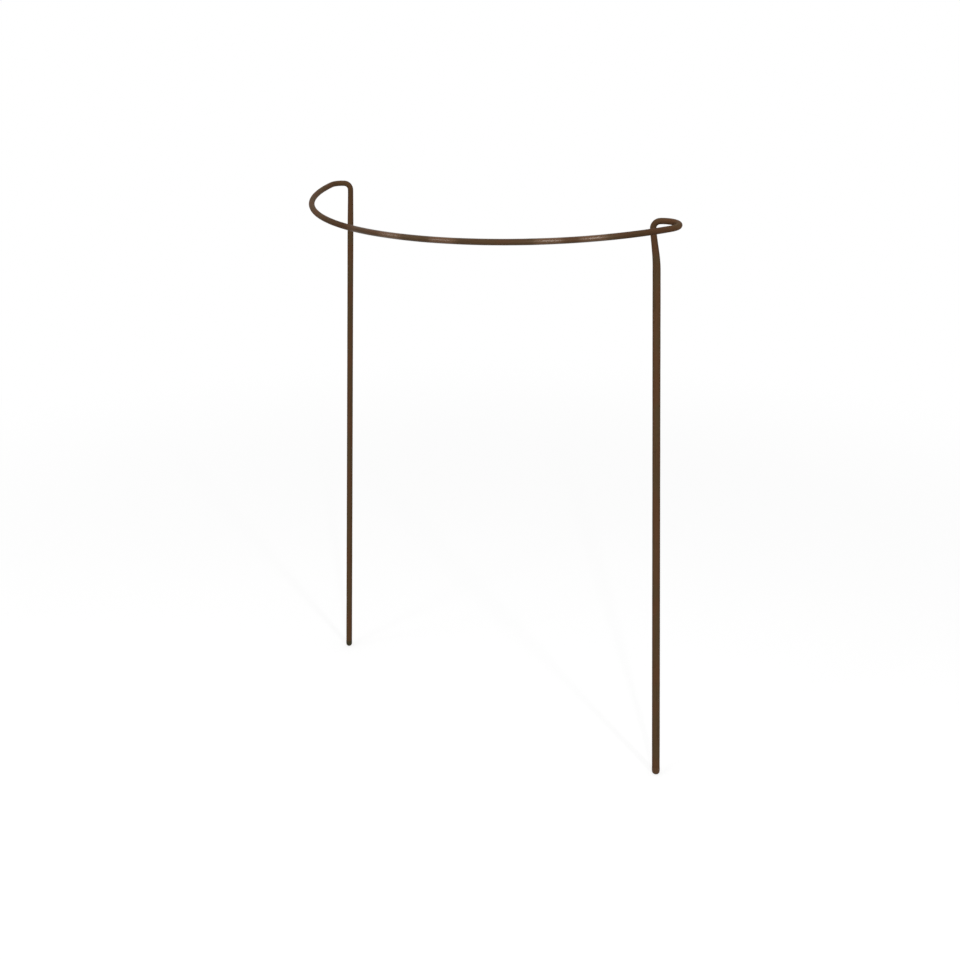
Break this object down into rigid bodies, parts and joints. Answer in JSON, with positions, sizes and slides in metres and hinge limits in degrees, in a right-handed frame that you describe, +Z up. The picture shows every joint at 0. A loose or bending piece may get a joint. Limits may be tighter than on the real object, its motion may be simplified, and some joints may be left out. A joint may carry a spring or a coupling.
{
  "type": "arched plant support",
  "caption": "Bent rod garden support with a plastic coat: straight legs to push into soil and a nearly level half-round bow that holds a plant's stems upright.",
  "frame": {"origin": "midway between the tips of the two feet, at the height of the tips, where the support goes into the soil", "axes": "+Z up, +X from the left leg to the right leg, and the bow stands out towards -Y"},
  "size_m": [0.4582, 0.1778, 0.6001],
  "materials": {
    "coating": "semi-gloss brown coat",
    "foot_cap": "dull dark brown, earth-stained",
    "steel": "drawn steel rod"
  },
  "bodies": {
    "root": {"steel_core": "steel", "bow_coating": "coating", "left_leg_coating": "coating", "right_leg_coating": "coating", "left_foot_cap": "foot_cap", "right_foot_cap": "foot_cap"}
  },
  "joints": []
}
